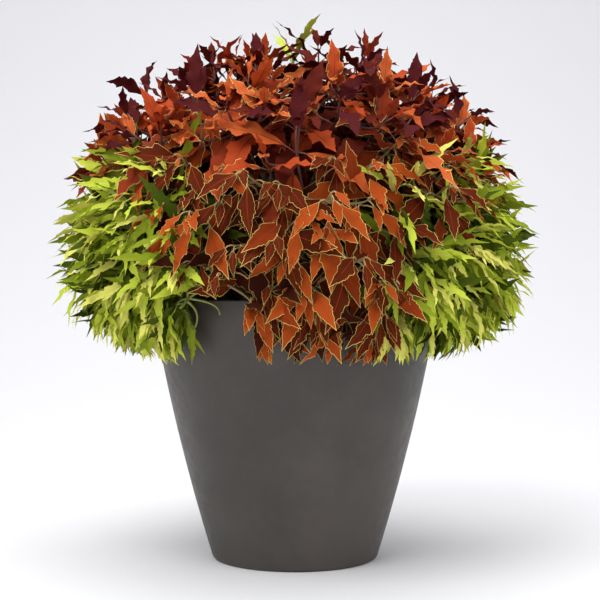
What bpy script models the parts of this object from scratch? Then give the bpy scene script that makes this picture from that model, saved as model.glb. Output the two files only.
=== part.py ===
"""A potted coleus: a tapering round planter of coleus grown as one clump, with a red crown, copper
shoots in front and behind, and lime shoots at both sides. Metres, +Z up, with the origin at the
middle of the planter's flat underside and the front towards -Y."""

import math
import random

import bmesh
import bpy
import numpy as np
from mathutils import Vector
from mathutils.bvhtree import BVHTree

# The planter, turned about Z
POT_HEIGHT = 0.362
RIM_RADIUS = 0.203
BASE_RADIUS = 0.116
SIDE_BULGE = 0.0065
WALL = 0.008
FLOOR = 0.012
BASE_EDGE = 0.004
RIM_EDGE = 0.002
TURN_STEPS = 48
SIDE_RINGS = 4

# The potting mix: its level, and a slight fall from its flat middle to its edge
SOIL_BELOW_RIM = 0.030
SOIL_FALL = 0.006
SOIL_FLAT_SHARE = 0.72
SOIL_RINGS = 2
SOIL_CHORD_GAP = 0.0004

# The gap that touching pieces keep, and what leaves and twigs keep clear of
JOINT_GAP = 0.0003
SPACE_GAP = 0.0006
LIMB_CLEAR = 0.0015
POT_CLEAR = 0.003

# The crown's outer reach: a ball with its own rise and drop about a level above the rim
CROWN_LEVEL = 0.070
CROWN_RADIUS = 0.350
CROWN_RISE = 0.332
CROWN_DROP = 0.168
RISE_POWER = 1.9
DROP_POWER = 3.0

# The kinds of coleus: red over a level above the rim, and under it copper within an angle of the
# front and of the back, which widens upwards, with lime between them
RED_ABOVE = 0.160
COPPER_MIDDLE = 6.0
COPPER_ANGLE = 24.0
COPPER_WIDENING = 170.0

# Masses of foliage in tiers: name, count, ring radius, height above the rim, first azimuth,
# and then the ring radius and height above the rim where a limb enters each
TIERS = (
    ("skirt", 10, 0.266, 0.000, 4.0, 0.216, 0.032),
    ("flank", 8, 0.262, 0.124, 4.0, 0.172, 0.100),
    ("shoulder", 6, 0.160, 0.245, 30.0, 0.092, 0.214),
    ("top", 1, 0.0, 0.305, 0.0, 0.0, 0.240),
)

# The side stems stand round the middle one, and each leans to the flank mass at its azimuth
SIDE_STEMS = (("front", 4.0), ("right", 94.0), ("back", 184.0), ("left", 274.0))
SECTOR_TURN = -2.0
SIDE_STEM_RING = 0.058
STEM_ROOT_RADIUS = 0.0085
STEM_TIP_RADIUS = 0.0048
STEM_POINTS = 6
STEM_LIFT = 0.030
ROOT_FLARE = 1.6
FLARE_HEIGHT = 0.012
BOUGH_ROOT_RADIUS = 0.0046
BOUGH_TIP_RADIUS = 0.0032
BOUGH_POINTS = 5
BOUGH_ARCH = 0.030
SIDE_FORKS = (0.34, 0.74)
MIDDLE_FORKS = (0.48, 0.61, 0.74)

# Each mass is dense, so it has a small core round its hub that its leaves stand out of
HUB_SHARE = 0.50
CORE_MOST = 0.105
CORE_SHARES = (0.85, 0.72, 0.60, 0.48, 0.36, 0.24)
CORE_REACH = 0.74
CORE_CLEAR = 0.005
CORE_STEP = 0.004
MASS_STEM_START = 0.012

# Shoots: their tips are spread evenly over the crown, at a share of the way out to its reach
SHOOTS = 114
LOWEST_SINE = -0.46
LOW_SHARE_POWER = 0.84
TIP_SHARE = {"red": 0.84, "copper": 0.82, "lime": 0.80}
SHOOT_LIFT = {"red": 0.45, "copper": 0.10, "lime": -0.05}
SHOOT_STRAY = 0.18
SHOOT_BEND = 0.40
OUTSIDE_RIM = 0.035
TWIG_RADII = (0.0030, 0.0027)
TWIG_SIDES = 3
TWIG_START = 0.04

# Leaves of each kind: length, width, lean from the shoot's axis of its oldest and youngest, droop
LEAVES = {
    "red": (0.104, 0.056, 92.0, 40.0, 0.45),
    "copper": (0.100, 0.048, 88.0, 34.0, 0.85),
    "lime": (0.118, 0.044, 78.0, 30.0, 0.70),
}
LEAF_PAIRS = 3
PAIR_SPACING = 0.0104
YOUNGEST_SIZE = 0.62
LEAF_STRAY = (8.0, 0.25, 0.07)
LEAF_WIDEST = 0.46
LEAF_KEEL = 0.0026
LEAF_ROOT_DEPTH = 0.0016
LEAF_SINK = 0.0002
LEAF_FACES_UP = 0.25

# A leaf that doesn't fit is turned, leant in and at last made shorter
FIT_TRIES = 6
FIT_TURN = 0.16
FIT_LEAN = 0.11
FIT_SIZES = (1.0, 0.86, 0.72)

GOLDEN_ANGLE = math.pi * (3.0 - math.sqrt(5.0))
UP = Vector((0.0, 0.0, 1.0))
RIM = Vector((0.0, 0.0, POT_HEIGHT))
CROWN_CENTRE = RIM + UP * CROWN_LEVEL
SOIL_TOP = POT_HEIGHT - SOIL_BELOW_RIM

# Base colour and roughness
FINISHES = {
    "planter": ((0.048, 0.044, 0.040), 0.62),
    "potting_mix": ((0.045, 0.030, 0.020), 0.95),
    "stem": ((0.300, 0.260, 0.120), 0.60),
    "red": ((0.300, 0.040, 0.018), 0.55),
    "copper": ((0.520, 0.085, 0.015), 0.55),
    "lime": ((0.360, 0.450, 0.040), 0.50),
}

# The corners of a leaf, in the order that leaf_corners gives them, round each of its faces
TOP, UNDER, LEFT, RIGHT, KEEL, TIP = range(6)
LEAF_FACES = ((TOP, LEFT, RIGHT), (LEFT, TIP, RIGHT), (TOP, UNDER, LEFT), (TOP, RIGHT, UNDER),
              (UNDER, KEEL, LEFT), (UNDER, RIGHT, KEEL), (KEEL, TIP, LEFT), (KEEL, RIGHT, TIP))
LEAF_LINES = ((LEFT, TIP), (RIGHT, TIP), (LEFT, RIGHT), (KEEL, TIP), (TOP, LEFT), (TOP, RIGHT),
              (UNDER, KEEL), (TOP, TIP), (LEFT, KEEL), (RIGHT, KEEL))
TESTS_PER_LINE = 5


# Setting up

def clear_scene():
    for obj in list(bpy.data.objects):
        bpy.data.objects.remove(obj, do_unlink=True)


def new_collection(name, hidden=False):
    collection = bpy.data.collections.new(name)
    collection.hide_render = hidden
    bpy.context.scene.collection.children.link(collection)
    return collection


def make_material(name):
    colour, roughness = FINISHES[name]
    material = bpy.data.materials.new(name)
    material.use_nodes = True
    shader = material.node_tree.nodes["Principled BSDF"]
    shader.inputs["Base Color"].default_value = (*colour, 1.0)
    shader.inputs["Roughness"].default_value = roughness
    shader.inputs["Metallic"].default_value = 0.0
    return material


def add_object(name, data, collection, material=None):
    obj = bpy.data.objects.new(name, data)
    if material is not None:
        data.materials.append(material)
    collection.objects.link(obj)
    return obj


def apply_modifiers(obj):
    graph = bpy.context.evaluated_depsgraph_get()
    mesh = bpy.data.meshes.new_from_object(obj.evaluated_get(graph))
    obj.modifiers.clear()
    obj.data = mesh


def around(radius, height_above_rim, azimuth):
    """A point at an azimuth in degrees from the front, turning towards +X."""
    angle = math.radians(azimuth)
    return RIM + Vector((radius * math.sin(angle), -radius * math.cos(angle), height_above_rim))


def taper(root, tip, count):
    return [root + (tip - root) * k / (count - 1) for k in range(count)]


# The planter and its potting mix

def side_radius(z):
    """Outer radius of the planter's bulging side at a height, or at an array of heights."""
    share = np.clip(z / POT_HEIGHT, 0.0, 1.0)
    straight = BASE_RADIUS + (RIM_RADIUS - BASE_RADIUS) * share
    return straight + SIDE_BULGE * 4.0 * share * (1.0 - share)


def turned(name, profile, collection):
    """A body turned about Z from a profile that ends by running down its outer side."""
    shape = bmesh.new()
    points = [shape.verts.new((radius, 0.0, z)) for radius, z in profile]
    for start, end in zip(points, points[1:]):
        shape.edges.new((start, end))
    mesh = bpy.data.meshes.new(name)
    shape.to_mesh(mesh)
    shape.free()
    obj = add_object(name, mesh, collection, make_material(name))
    screw = obj.modifiers.new("turn", "SCREW")
    screw.angle = math.tau
    screw.steps = TURN_STEPS
    screw.render_steps = TURN_STEPS
    screw.use_merge_vertices = True
    screw.merge_threshold = 0.00001
    screw.use_smooth_shade = True


def make_planter(collection):
    inside = taper(FLOOR, POT_HEIGHT, SIDE_RINGS + 1)
    outside = taper(POT_HEIGHT - RIM_EDGE, BASE_EDGE, SIDE_RINGS + 1)
    profile = [(0.0, FLOOR)]
    profile += [(side_radius(z) - WALL, z) for z in inside]
    profile += [(RIM_RADIUS - RIM_EDGE, POT_HEIGHT)]
    profile += [(side_radius(z), z) for z in outside]
    profile += [(BASE_RADIUS - BASE_EDGE, 0.0), (0.0, 0.0)]
    turned("planter", profile, collection)


def make_potting_mix(collection):
    bottom = FLOOR + JOINT_GAP
    inset = WALL + JOINT_GAP + SOIL_CHORD_GAP
    flat = (side_radius(SOIL_TOP) - inset) * SOIL_FLAT_SHARE
    profile = [(0.0, SOIL_TOP), (flat, SOIL_TOP)]
    profile += [(side_radius(z) - inset, z) for z in taper(SOIL_TOP - SOIL_FALL, bottom, SOIL_RINGS + 1)]
    profile += [(0.0, bottom)]
    turned("potting_mix", profile, collection)


# Limbs

def arc_points(start, control, end, count):
    """Points along a quadratic curve."""
    return [start * (1 - t) ** 2 + control * 2 * t * (1 - t) + end * t ** 2
            for t in taper(0.0, 1.0, count)]


def tube_mesh(name, points, radii, section=None):
    """A tapering tube along points: round, or of the section curve's own shape."""
    curve = bpy.data.curves.new(name, "CURVE")
    curve.dimensions = "3D"
    curve.use_fill_caps = True
    if section is None:
        curve.bevel_depth = 1.0
        curve.bevel_resolution = 1
    else:
        curve.bevel_mode = "OBJECT"
        curve.bevel_object = section
    spline = curve.splines.new("POLY")
    spline.points.add(len(points) - 1)
    for point, place, radius in zip(spline.points, points, radii):
        point.co = (*place, 1.0)
        point.radius = radius
    guide = add_object(name + "_guide", curve, bpy.context.scene.collection)
    graph = bpy.context.evaluated_depsgraph_get()
    mesh = bpy.data.meshes.new_from_object(guide.evaluated_get(graph))
    bpy.data.objects.remove(guide, do_unlink=True)
    shape = bmesh.new()
    shape.from_mesh(mesh)
    bmesh.ops.remove_doubles(shape, verts=shape.verts[:], dist=0.000005)
    bmesh.ops.recalc_face_normals(shape, faces=shape.faces[:])
    shape.to_mesh(mesh)
    shape.free()
    return mesh


class Limbs:
    """Every limb as a chain of balls, which leaves and twigs are kept clear of."""

    def __init__(self):
        self.centres = np.zeros((0, 3))
        self.radii = np.zeros(0)

    def add(self, points, radii, per_span=8):
        shares = np.linspace(0.0, 1.0, per_span)
        for start, end, start_radius, end_radius in zip(points, points[1:], radii, radii[1:]):
            span = np.outer(1 - shares, start) + np.outer(shares, end)
            self.centres = np.vstack([self.centres, span])
            self.radii = np.concatenate([self.radii, start_radius + (end_radius - start_radius) * shares])

    def clear_of(self, points, gap):
        away = np.linalg.norm(points[:, None, :] - self.centres[None, :, :], axis=2)
        return bool((away - self.radii).min() > gap)

    def clear_of_lump(self, tree, hub, gap):
        """True where no limb lies inside a lump that is seen whole from its hub, or near its surface."""
        for centre, radius in zip(self.centres, self.radii):
            offset = Vector(centre) - hub
            surface = tree.ray_cast(hub, offset.normalized())[3]
            if offset.length < surface or tree.find_nearest(centre)[3] < radius + gap:
                return False
        return True


class Stem:
    """A stem's points from its flat, flared foot, which rises straight before it leans."""

    def __init__(self, name, foot, control, tip):
        self.name = name
        self.points = [foot, *arc_points(foot + UP * FLARE_HEIGHT, control, tip, STEM_POINTS)]
        self.radii = [STEM_ROOT_RADIUS * ROOT_FLARE, *taper(STEM_ROOT_RADIUS, STEM_TIP_RADIUS, STEM_POINTS)]
        self.cutter = None

    def at(self, share):
        place = share * (len(self.points) - 1)
        index = int(place)
        return self.points[index].lerp(self.points[index + 1], place - index)


def make_stem(stem, mass, limbs, collection, cutters, bark):
    """A stem that ends in its mass, with a cutter a joint gap larger for the boughs that it carries."""
    add_object(stem.name, tube_mesh(stem.name, stem.points, stem.radii), collection, bark)
    grown = [radius + JOINT_GAP for radius in stem.radii]
    name = stem.name + "_cutter"
    stem.cutter = add_object(name, tube_mesh(name, stem.points, grown), cutters)
    stem.cutter.display_type = "WIRE"
    stem.cutter.hide_render = True
    limbs.add(stem.points, stem.radii)
    mass.onward = (stem.points[-1] - stem.points[-2]).normalized()


def make_bough(mass, stem, fork, limbs, collection, bark):
    """A bough that arches from a share of the way up its stem to where it enters its mass."""
    root = stem.at(fork)
    control = root.lerp(mass.entry, 0.5) + UP * BOUGH_ARCH
    points = arc_points(root, control, mass.entry, BOUGH_POINTS)
    radii = taper(BOUGH_ROOT_RADIUS, BOUGH_TIP_RADIUS, BOUGH_POINTS)
    name = mass.name.replace("foliage", "bough")
    obj = add_object(name, tube_mesh(name, points, radii), collection, bark)
    cut = obj.modifiers.new("saddle", "BOOLEAN")
    cut.operation = "DIFFERENCE"
    cut.solver = "EXACT"
    cut.object = stem.cutter
    limbs.add(points, radii)
    mass.onward = (points[-1] - points[-2]).normalized()


def stem_in_sector(azimuth):
    """The name of the side stem whose quarter an azimuth falls in."""
    def apart(stem):
        return abs((stem[1] + SECTOR_TURN - azimuth + 180.0) % 360.0 - 180.0)
    return min(SIDE_STEMS, key=apart)[0]


def make_limbs(masses, collection, cutters):
    """The middle stem with a bough to each shoulder mass, and side stems with the other boughs."""
    bark = make_material("stem")
    limbs = Limbs()
    top = next(mass for mass in masses if mass.tier == "top")
    foot = UP * (SOIL_TOP + JOINT_GAP)
    middle = Stem("stem_middle", foot, foot.lerp(top.entry, 0.5), top.entry)
    make_stem(middle, top, limbs, collection, cutters, bark)
    shoulders = [mass for mass in masses if mass.tier == "shoulder"]
    for k, mass in enumerate(shoulders):
        make_bough(mass, middle, MIDDLE_FORKS[k % len(MIDDLE_FORKS)], limbs, collection, bark)
    for name, azimuth in SIDE_STEMS:
        tip_mass = next(mass for mass in masses if mass.tier == "flank" and mass.azimuth == azimuth)
        foot = around(SIDE_STEM_RING, 0.0, azimuth)
        foot.z = SOIL_TOP + JOINT_GAP
        control = foot.lerp(tip_mass.entry, 0.30) + UP * STEM_LIFT
        stem = Stem("stem_" + name, foot, control, tip_mass.entry)
        make_stem(stem, tip_mass, limbs, collection, cutters, bark)
        carried = [mass for mass in masses if mass.tier in ("skirt", "flank") and mass is not tip_mass
                   and stem_in_sector(mass.azimuth) == name]
        carried.sort(key=lambda mass: (mass.tier == "flank", mass.azimuth))
        for mass, fork in zip(carried, taper(*SIDE_FORKS, len(carried))):
            make_bough(mass, stem, fork, limbs, collection, bark)
    return limbs


# The crown's reach, the kinds' places and each mass's own space

def scaled(height):
    """Height over the crown's middle as a share of its rise or drop there, with that part's power."""
    rise = np.where(height > 0, CROWN_RISE, CROWN_DROP)
    power = np.where(height > 0, RISE_POWER, DROP_POWER)
    return np.abs(height) / rise, power, rise


def inside_reach(points, share=1.0):
    """True where every point is within a share of the crown's reach from its middle."""
    offset = (points - np.array(CROWN_CENTRE)) / share
    flat = np.hypot(offset[:, 0], offset[:, 1]) / CROWN_RADIUS
    steep, power, _ = scaled(offset[:, 2])
    return bool((flat ** power + steep ** power < 1.0).all())


def reach_towards(direction):
    """How far the crown reaches from its middle in a direction."""
    flat = math.hypot(direction.x, direction.y) / CROWN_RADIUS
    steep, power, _ = scaled(direction.z)
    return float((flat ** power + steep ** power) ** (-1.0 / power))


def outward_at(point):
    """The outward direction of the crown's surface that passes through a point."""
    offset = point - CROWN_CENTRE
    flat = math.hypot(offset.x, offset.y) / CROWN_RADIUS
    steep, power, rise = scaled(offset.z)
    level = Vector((offset.x, offset.y, 0.0)).normalized()
    climb = math.copysign(float(steep ** (power - 1) / rise), offset.z)
    return (level * float(flat ** (power - 1) / CROWN_RADIUS) + UP * climb).normalized()


def clear_of_pot(points):
    """True where every point is over the rim or outside the planter's wall."""
    over = points[:, 2] > POT_HEIGHT + POT_CLEAR
    outside = np.hypot(points[:, 0], points[:, 1]) > side_radius(points[:, 2]) + POT_CLEAR
    return bool((over | outside).all())


def kind_at(point):
    """The kind of coleus that grows at a place on the crown."""
    over_rim = point.z - POT_HEIGHT
    if over_rim > RED_ABOVE:
        return "red"
    azimuth = math.degrees(math.atan2(point.x, -point.y))
    aside = abs((azimuth - COPPER_MIDDLE + 90.0) % 180.0 - 90.0)
    within = COPPER_ANGLE + COPPER_WIDENING * max(over_rim, 0.0)
    return "copper" if aside < within else "lime"


class Mass:
    """One mass of foliage: the middle of its space, and where its limb enters and its hub lies."""

    def __init__(self, tier, name, azimuth, middle, entry):
        self.tier = tier
        self.name = name
        self.azimuth = azimuth
        self.middle = middle
        self.entry = entry
        self.hub = entry.lerp(middle, HUB_SHARE)
        self.onward = None
        self.tips = []


def make_masses():
    masses = []
    for tier, count, ring, height, first, entry_ring, entry_height in TIERS:
        for k in range(count):
            name = f"foliage_{tier}_{k + 1}" if count > 1 else f"foliage_{tier}"
            azimuth = first + 360.0 * k / count
            masses.append(Mass(tier, name, azimuth, around(ring, height, azimuth),
                               around(entry_ring, entry_height, azimuth)))
    return masses


def keeps_space(points, mass, masses, gap=SPACE_GAP):
    """True where every point is nearer to the mass's middle than to any other's, by a gap."""
    own = np.array(mass.middle)
    others = np.array([other.middle for other in masses if other is not mass])
    apart = np.linalg.norm(others - own, axis=1)
    farther = ((points[:, None] - others) ** 2).sum(2) - ((points - own) ** 2).sum(1)[:, None]
    return bool((farther / (2 * apart)).min() > gap)


def deal_shoots(masses):
    """Gives each mass the shoots whose tips are nearest to its middle, by the golden angle."""
    for k in range(SHOOTS):
        sine = 1.0 - ((k + 0.5) / SHOOTS) ** LOW_SHARE_POWER * (1.0 - LOWEST_SINE)
        level = math.sqrt(1.0 - sine * sine)
        angle = k * GOLDEN_ANGLE
        direction = Vector((level * math.cos(angle), level * math.sin(angle), sine))
        full = CROWN_CENTRE + direction * reach_towards(direction)
        share = TIP_SHARE[kind_at(CROWN_CENTRE.lerp(full, min(TIP_SHARE.values())))]
        tip = CROWN_CENTRE.lerp(full, share)
        mass = min(masses, key=lambda one: (one.middle - tip).length)
        flat = math.hypot(tip.x, tip.y)
        least = float(side_radius(tip.z)) + OUTSIDE_RIM
        if tip.z < POT_HEIGHT + OUTSIDE_RIM and flat < least:
            tip.xy *= least / flat
        mass.tips.append(tip)


# Foliage

def leaf_corners(root, direction, normal, length, width, droop):
    """A leaf's corners: two at its root, two at its sides, its keel, and its tip that droops."""
    middle = root + direction * length * LEAF_WIDEST
    bent = (direction - UP * droop * 0.5).normalized()
    tip = middle + bent * length * (1.0 - LEAF_WIDEST)
    half = normal.cross(direction).normalized() * width * 0.5
    sunk = root - direction * LEAF_SINK
    deep = normal * LEAF_ROOT_DEPTH * 0.5
    return [sunk + deep, sunk - deep, middle + half, middle - half, middle - normal * LEAF_KEEL, tip]


def leaf_mesh(corners):
    mesh = bpy.data.meshes.new("leaf")
    shape = bmesh.new()
    points = [shape.verts.new(corner) for corner in corners]
    for face in LEAF_FACES:
        shape.faces.new([points[k] for k in face])
    bmesh.ops.recalc_face_normals(shape, faces=shape.faces[:])
    shape.to_mesh(mesh)
    shape.free()
    return mesh


def points_between(points, lines, count):
    """Points along lines between corners, for testing a solid's surface."""
    shares = np.linspace(0.0, 1.0, count)[:, None]
    return np.vstack([points[a] * (1 - shares) + points[b] * shares for a, b in lines])


def fits(corners, mass, masses, limbs):
    """True where a leaf keeps to its mass's space and the crown's reach, clear of limbs and pot."""
    points = np.array([tuple(corner) for corner in corners])
    if not (keeps_space(points, mass, masses) and inside_reach(points)):
        return False
    surface = points_between(points, LEAF_LINES, TESTS_PER_LINE)
    return clear_of_pot(surface) and limbs.clear_of(surface, LIMB_CLEAR)


def place_leaf(mass, masses, limbs, core, grown, root, axis, angle, lean, kind, size):
    """The longest leaf that fits and crosses no other shoot's, or None."""
    length, width, _, _, droop = LEAVES[kind]
    across = axis.orthogonal().normalized()
    aside = axis.cross(across)
    for fit_size in FIT_SIZES:
        for k in range(FIT_TRIES):
            turned_by = angle + FIT_TURN * (k if k % 2 else -k)
            leaning = math.radians(lean * (1.0 - FIT_LEAN * k))
            out = across * math.cos(turned_by) + aside * math.sin(turned_by)
            direction = axis * math.cos(leaning) + out * math.sin(leaning)
            normal = axis + UP * LEAF_FACES_UP
            normal = (normal - direction * normal.dot(direction)).normalized()
            corners = leaf_corners(root, direction, normal, length * size * fit_size,
                                   width * size * fit_size, droop)
            if not fits(corners, mass, masses, limbs):
                continue
            tree = BVHTree.FromPolygons([tuple(corner) for corner in corners], LEAF_FACES)
            if tree.overlap(core) or any(tree.overlap(other) for other, place in grown if place != root):
                continue
            grown.append((tree, root))
            return corners
    return None


def core_radius(mass, masses, limbs, direction):
    """How far it is from a mass's hub to the first thing that bounds its core."""
    for distance in np.arange(CORE_STEP, CORE_MOST, CORE_STEP):
        place = mass.hub + direction * distance
        here = np.array(place)[None]
        if not (keeps_space(here, mass, masses) and inside_reach(here, CORE_REACH)
                and clear_of_pot(here) and limbs.clear_of(here, CORE_CLEAR)
                and (place - mass.entry).dot(mass.onward) > CORE_CLEAR):
            return distance
    return CORE_MOST


def core_mesh(mass, masses, limbs):
    """A faceted lump that fills a share of its mass's own space, and its tree for crossing tests."""
    sphere = bmesh.new()
    bmesh.ops.create_icosphere(sphere, subdivisions=1, radius=1.0)
    full = [vertex.co * core_radius(mass, masses, limbs, vertex.co) for vertex in sphere.verts]
    for share in CORE_SHARES:
        for vertex, offset in zip(sphere.verts, full):
            vertex.co = mass.hub + offset * share
        tree = BVHTree.FromBMesh(sphere)
        if limbs.clear_of_lump(tree, mass.hub, LIMB_CLEAR):
            break
    mesh = bpy.data.meshes.new("core")
    sphere.to_mesh(mesh)
    sphere.free()
    return mesh, tree


def twig_section(cutters):
    """A flat ring with a few corners, which twigs are bevelled along."""
    curve = bpy.data.curves.new("twig_section", "CURVE")
    curve.dimensions = "2D"
    spline = curve.splines.new("POLY")
    spline.points.add(TWIG_SIDES - 1)
    spline.use_cyclic_u = True
    for k, point in enumerate(spline.points):
        angle = math.tau * k / TWIG_SIDES
        point.co = (math.cos(angle), math.sin(angle), 0.0, 1.0)
    obj = add_object("twig_section", curve, cutters)
    obj.hide_render = True
    return obj


def grow_shoot(mass, tip, masses, limbs, core, grown, section, growth, rng):
    """A twig from the mass's hub to a shoot's tip, with pairs of leaves crosswise up its end."""
    kind = kind_at(tip)
    _, _, oldest_lean, youngest_lean, _ = LEAVES[kind]
    stray = Vector([rng.uniform(-SHOOT_STRAY, SHOOT_STRAY) for _ in range(3)])
    axis = (outward_at(tip) + UP * SHOOT_LIFT[kind] + stray).normalized()
    root = mass.hub.lerp(tip, TWIG_START)
    bend = tip - axis * SHOOT_BEND * (tip - root).length
    path = [root, bend, tip + axis * TWIG_RADII[1]]
    along = points_between(np.array([tuple(point) for point in path]), ((0, 1), (1, 2)), 7)
    if not (keeps_space(along, mass, masses, TWIG_RADII[0] + SPACE_GAP) and clear_of_pot(along)
            and limbs.clear_of(along[2:], TWIG_RADII[0] + LIMB_CLEAR)):
        return
    add_object("twig", tube_mesh("twig", path, taper(*TWIG_RADII, 3), section), growth)
    lean_stray, turn_stray, size_stray = LEAF_STRAY
    first_angle = rng.uniform(0.0, math.pi)
    for pair in range(LEAF_PAIRS):
        youth = pair / (LEAF_PAIRS - 1)
        root = tip - axis * PAIR_SPACING * (LEAF_PAIRS - 1 - pair)
        for opposite in (0.0, math.pi):
            angle = first_angle + pair * math.pi / 2 + opposite + rng.uniform(-turn_stray, turn_stray)
            lean = oldest_lean + (youngest_lean - oldest_lean) * youth + rng.uniform(-lean_stray, lean_stray)
            size = (1.0 + (YOUNGEST_SIZE - 1.0) * youth) * (1.0 + rng.uniform(-size_stray, size_stray))
            corners = place_leaf(mass, masses, limbs, core, grown, root, axis, angle, lean, kind, size)
            if corners is not None:
                add_object("leaf", leaf_mesh(corners), growth)


def grow_mass(mass, masses, limbs, section, collection, cutters, materials):
    """A mass's stem onward from its limb, with its core and every shoot fused on."""
    rng = random.Random(mass.name)
    start = mass.entry + mass.onward * JOINT_GAP
    points = [start, start + mass.onward * MASS_STEM_START, mass.hub]
    radii = taper(BOUGH_TIP_RADIUS, TWIG_RADII[0], 3)
    obj = add_object(mass.name, tube_mesh(mass.name, points, radii, section), collection)
    growth = bpy.data.collections.new(mass.name + "_growth")
    cutters.children.link(growth)
    core, core_tree = core_mesh(mass, masses, limbs)
    add_object("core", core, growth)
    grown = []
    for tip in mass.tips:
        grow_shoot(mass, tip, masses, limbs, core_tree, grown, section, growth, rng)
    fuse(obj, growth)
    obj.data.materials.clear()
    obj.data.materials.append(materials[kind_at(mass.middle)])


def fuse(obj, growth):
    """One union joins all that grew, and keeps the outer shell, so that no hollow is sealed in."""
    union = obj.modifiers.new("fuse", "BOOLEAN")
    union.operation = "UNION"
    union.solver = "MANIFOLD"
    union.operand_type = "COLLECTION"
    union.collection = growth
    apply_modifiers(obj)
    for piece in list(growth.objects):
        bpy.data.objects.remove(piece, do_unlink=True)
    bpy.data.collections.remove(growth)
    keep_outer_shell(obj.data)


def keep_outer_shell(mesh):
    shape = bmesh.new()
    shape.from_mesh(mesh)
    unseen = set(shape.verts)
    shells = []
    while unseen:
        shell = []
        waiting = [unseen.pop()]
        while waiting:
            vertex = waiting.pop()
            shell.append(vertex)
            near = {edge.other_vert(vertex) for edge in vertex.link_edges} & unseen
            unseen -= near
            waiting += near
        shells.append(shell)
    largest = max(shells, key=len)
    scraps = [vertex for shell in shells if shell is not largest for vertex in shell]
    bmesh.ops.delete(shape, geom=scraps, context="VERTS")
    shape.to_mesh(mesh)
    shape.free()


def main():
    clear_scene()
    collection = new_collection("potted_coleus")
    cutters = new_collection("cutters", hidden=True)
    make_planter(collection)
    make_potting_mix(collection)
    masses = make_masses()
    deal_shoots(masses)
    limbs = make_limbs(masses, collection, cutters)
    section = twig_section(cutters)
    materials = {kind: make_material(kind) for kind in LEAVES}
    for mass in masses:
        grow_mass(mass, masses, limbs, section, collection, cutters, materials)


main()
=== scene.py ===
"""How the potted coleus looks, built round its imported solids. Metres, +Z up, the front towards -Y."""
import math
import random

import bmesh
import bpy
import numpy as np
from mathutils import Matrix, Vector, noise


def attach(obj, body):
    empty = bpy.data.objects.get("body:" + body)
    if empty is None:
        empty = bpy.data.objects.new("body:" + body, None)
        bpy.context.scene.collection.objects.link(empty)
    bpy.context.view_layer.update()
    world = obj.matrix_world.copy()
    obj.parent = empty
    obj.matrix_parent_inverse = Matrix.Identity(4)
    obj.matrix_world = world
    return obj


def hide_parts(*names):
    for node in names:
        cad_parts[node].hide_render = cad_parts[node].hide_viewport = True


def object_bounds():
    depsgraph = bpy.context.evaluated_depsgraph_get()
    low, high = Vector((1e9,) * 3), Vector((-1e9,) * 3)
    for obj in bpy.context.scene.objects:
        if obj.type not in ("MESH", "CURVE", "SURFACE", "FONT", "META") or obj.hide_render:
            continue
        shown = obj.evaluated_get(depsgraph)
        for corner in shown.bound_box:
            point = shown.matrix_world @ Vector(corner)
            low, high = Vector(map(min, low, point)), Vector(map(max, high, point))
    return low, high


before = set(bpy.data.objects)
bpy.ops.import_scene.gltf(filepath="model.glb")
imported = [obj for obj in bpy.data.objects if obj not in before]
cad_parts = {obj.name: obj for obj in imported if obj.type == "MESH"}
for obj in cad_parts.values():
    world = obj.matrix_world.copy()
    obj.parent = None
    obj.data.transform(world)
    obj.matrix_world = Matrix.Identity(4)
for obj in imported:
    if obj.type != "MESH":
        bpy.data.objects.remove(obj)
solid_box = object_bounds()


# The planter
# A plain round pot of fibre clay, pressed in a mould and coloured charcoal brown all through.
# It tapers to a flat foot, its side swells a little, and its rim and foot are rounded over.

POT_HEIGHT = 0.362
RIM_RADIUS = 0.203
BASE_RADIUS = 0.116
SIDE_BULGE = 0.0065
POT_WALL = 0.008
POT_FLOOR = 0.012
RIM_ROUND = 0.0024
FOOT_ROUND = 0.0045
ROUND_STEPS = 4
PLANTER_TURNS = 128
PLANTER_RINGS = 15
CLAY_DARK = (0.0355, 0.0295, 0.025)
CLAY_LIGHT = (0.068, 0.057, 0.049)
CLAY_CLOUD = 5.5
CLAY_SPECKLE = 70.0
CLAY_GRAIN = 900.0
CLAY_GRAIN_DEPTH = 0.00012


class Wire:
    """A socket of a finish, whose sums add Math nodes to it."""

    def __init__(self, finish, socket):
        self.finish = finish
        self.socket = socket

    def __add__(self, other):
        return self.finish.sum("ADD", self, other)

    def __radd__(self, other):
        return self.finish.sum("ADD", other, self)

    def __sub__(self, other):
        return self.finish.sum("SUBTRACT", self, other)

    def __rsub__(self, other):
        return self.finish.sum("SUBTRACT", other, self)

    def __mul__(self, other):
        return self.finish.sum("MULTIPLY", self, other)

    def __rmul__(self, other):
        return self.finish.sum("MULTIPLY", other, self)


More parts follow.
